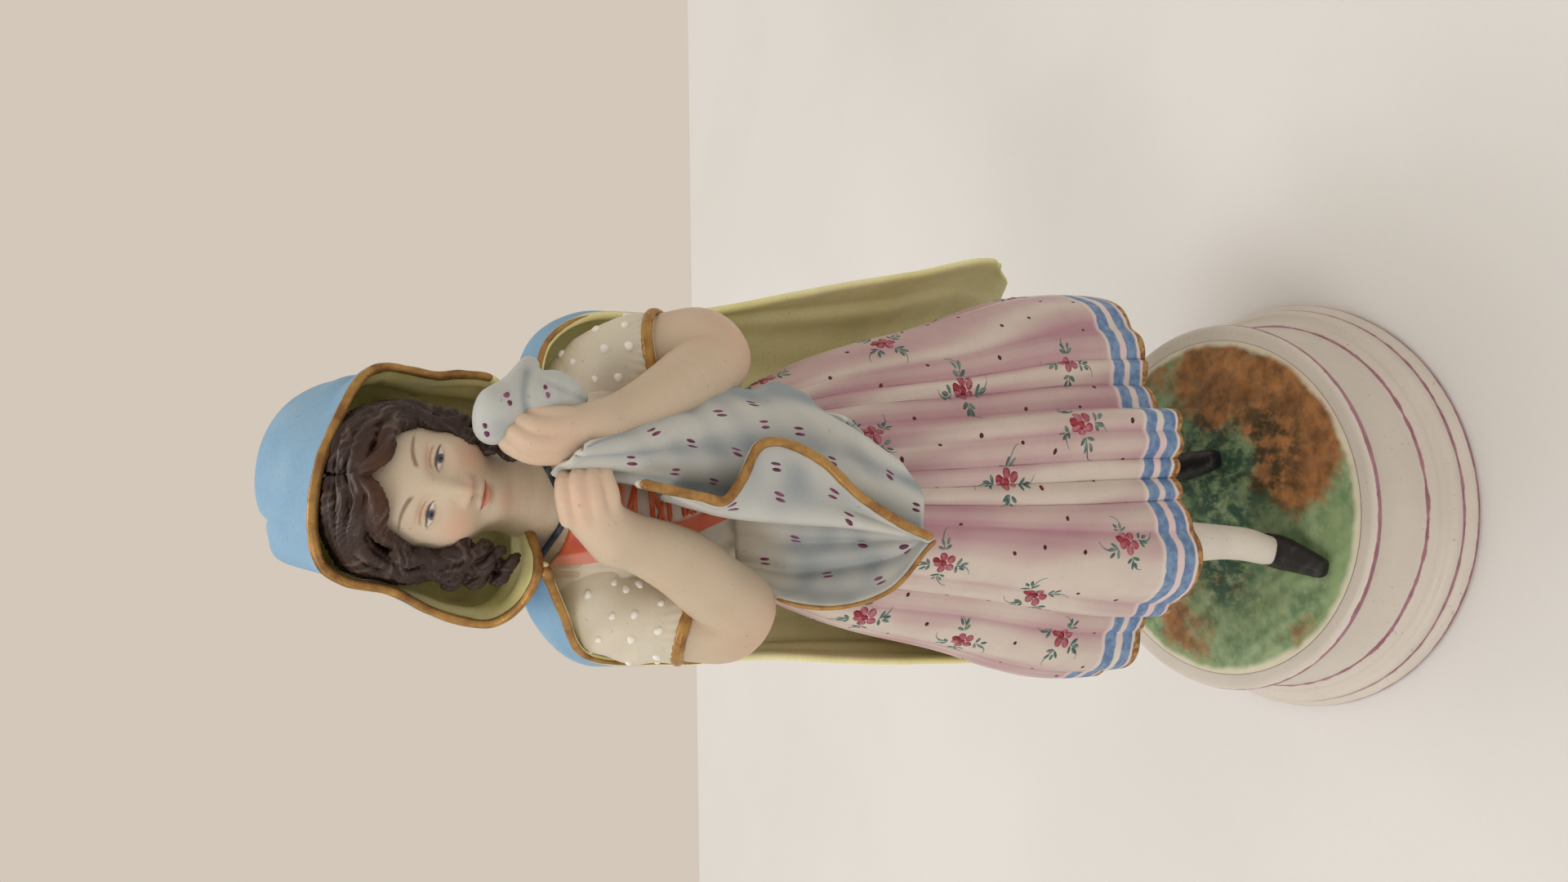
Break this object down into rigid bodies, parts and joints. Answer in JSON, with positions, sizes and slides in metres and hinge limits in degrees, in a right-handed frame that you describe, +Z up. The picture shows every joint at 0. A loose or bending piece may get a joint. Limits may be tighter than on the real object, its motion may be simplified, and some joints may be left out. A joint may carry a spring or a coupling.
{
  "type": "porcelain figurine",
  "caption": "Standing painted bisque figurine of a girl in a hooded cape who holds up her apron, on a round moulded plinth.",
  "frame": {"origin": "centre of the plinth's flat underside", "axes": "+Z up, the figure faces -Y, her left hand is towards +X"},
  "size_m": [0.1265, 0.114, 0.2735],
  "materials": {
    "bisque": "unglazed white bisque",
    "ground_enamel": "brushed green and brown enamel",
    "black_enamel": "black enamel, satin",
    "skirt_enamel": "white bisque with pink pleats, sprigs, blue bands and a gilt hem",
    "chemise_bisque": "white bisque with raised dots",
    "coral_enamel": "coral red enamel",
    "skin_bisque": "tinted bisque",
    "hair_enamel": "dark brown enamel, brushed",
    "blue_bisque": "matt sky blue enamel, yellow-green inside",
    "gilding": "worn matt gilding",
    "apron_bisque": "pale blue-white bisque with paired purple dashes",
    "ribbon_enamel": "dark slate enamel"
  },
  "bodies": {
    "root": {"plinth": "bisque", "ground": "ground_enamel", "shoe_right": "black_enamel", "shoe_left": "black_enamel", "stocking_right": "bisque", "stocking_left": "bisque", "skirt": "skirt_enamel", "bodice": "chemise_bisque", "stays": "coral_enamel", "head": "skin_bisque", "hair": "hair_enamel", "ringlet_right": "hair_enamel", "ringlet_left": "hair_enamel", "hood": "blue_bisque", "cape": "blue_bisque", "hood_trim": "gilding", "cape_trim_right": "gilding", "cape_trim_left": "gilding", "sleeve_right": "chemise_bisque", "sleeve_left": "chemise_bisque", "sleeve_band_right": "gilding", "sleeve_band_left": "gilding", "forearm_right": "skin_bisque", "forearm_left": "skin_bisque", "hand_right": "skin_bisque", "hand_left": "skin_bisque", "apron_panel": "apron_bisque", "apron_flap": "apron_bisque", "apron_scoop": "apron_bisque", "apron_bundle": "apron_bisque", "apron_piping": "gilding", "neck_ribbon": "ribbon_enamel"}
  },
  "joints": []
}
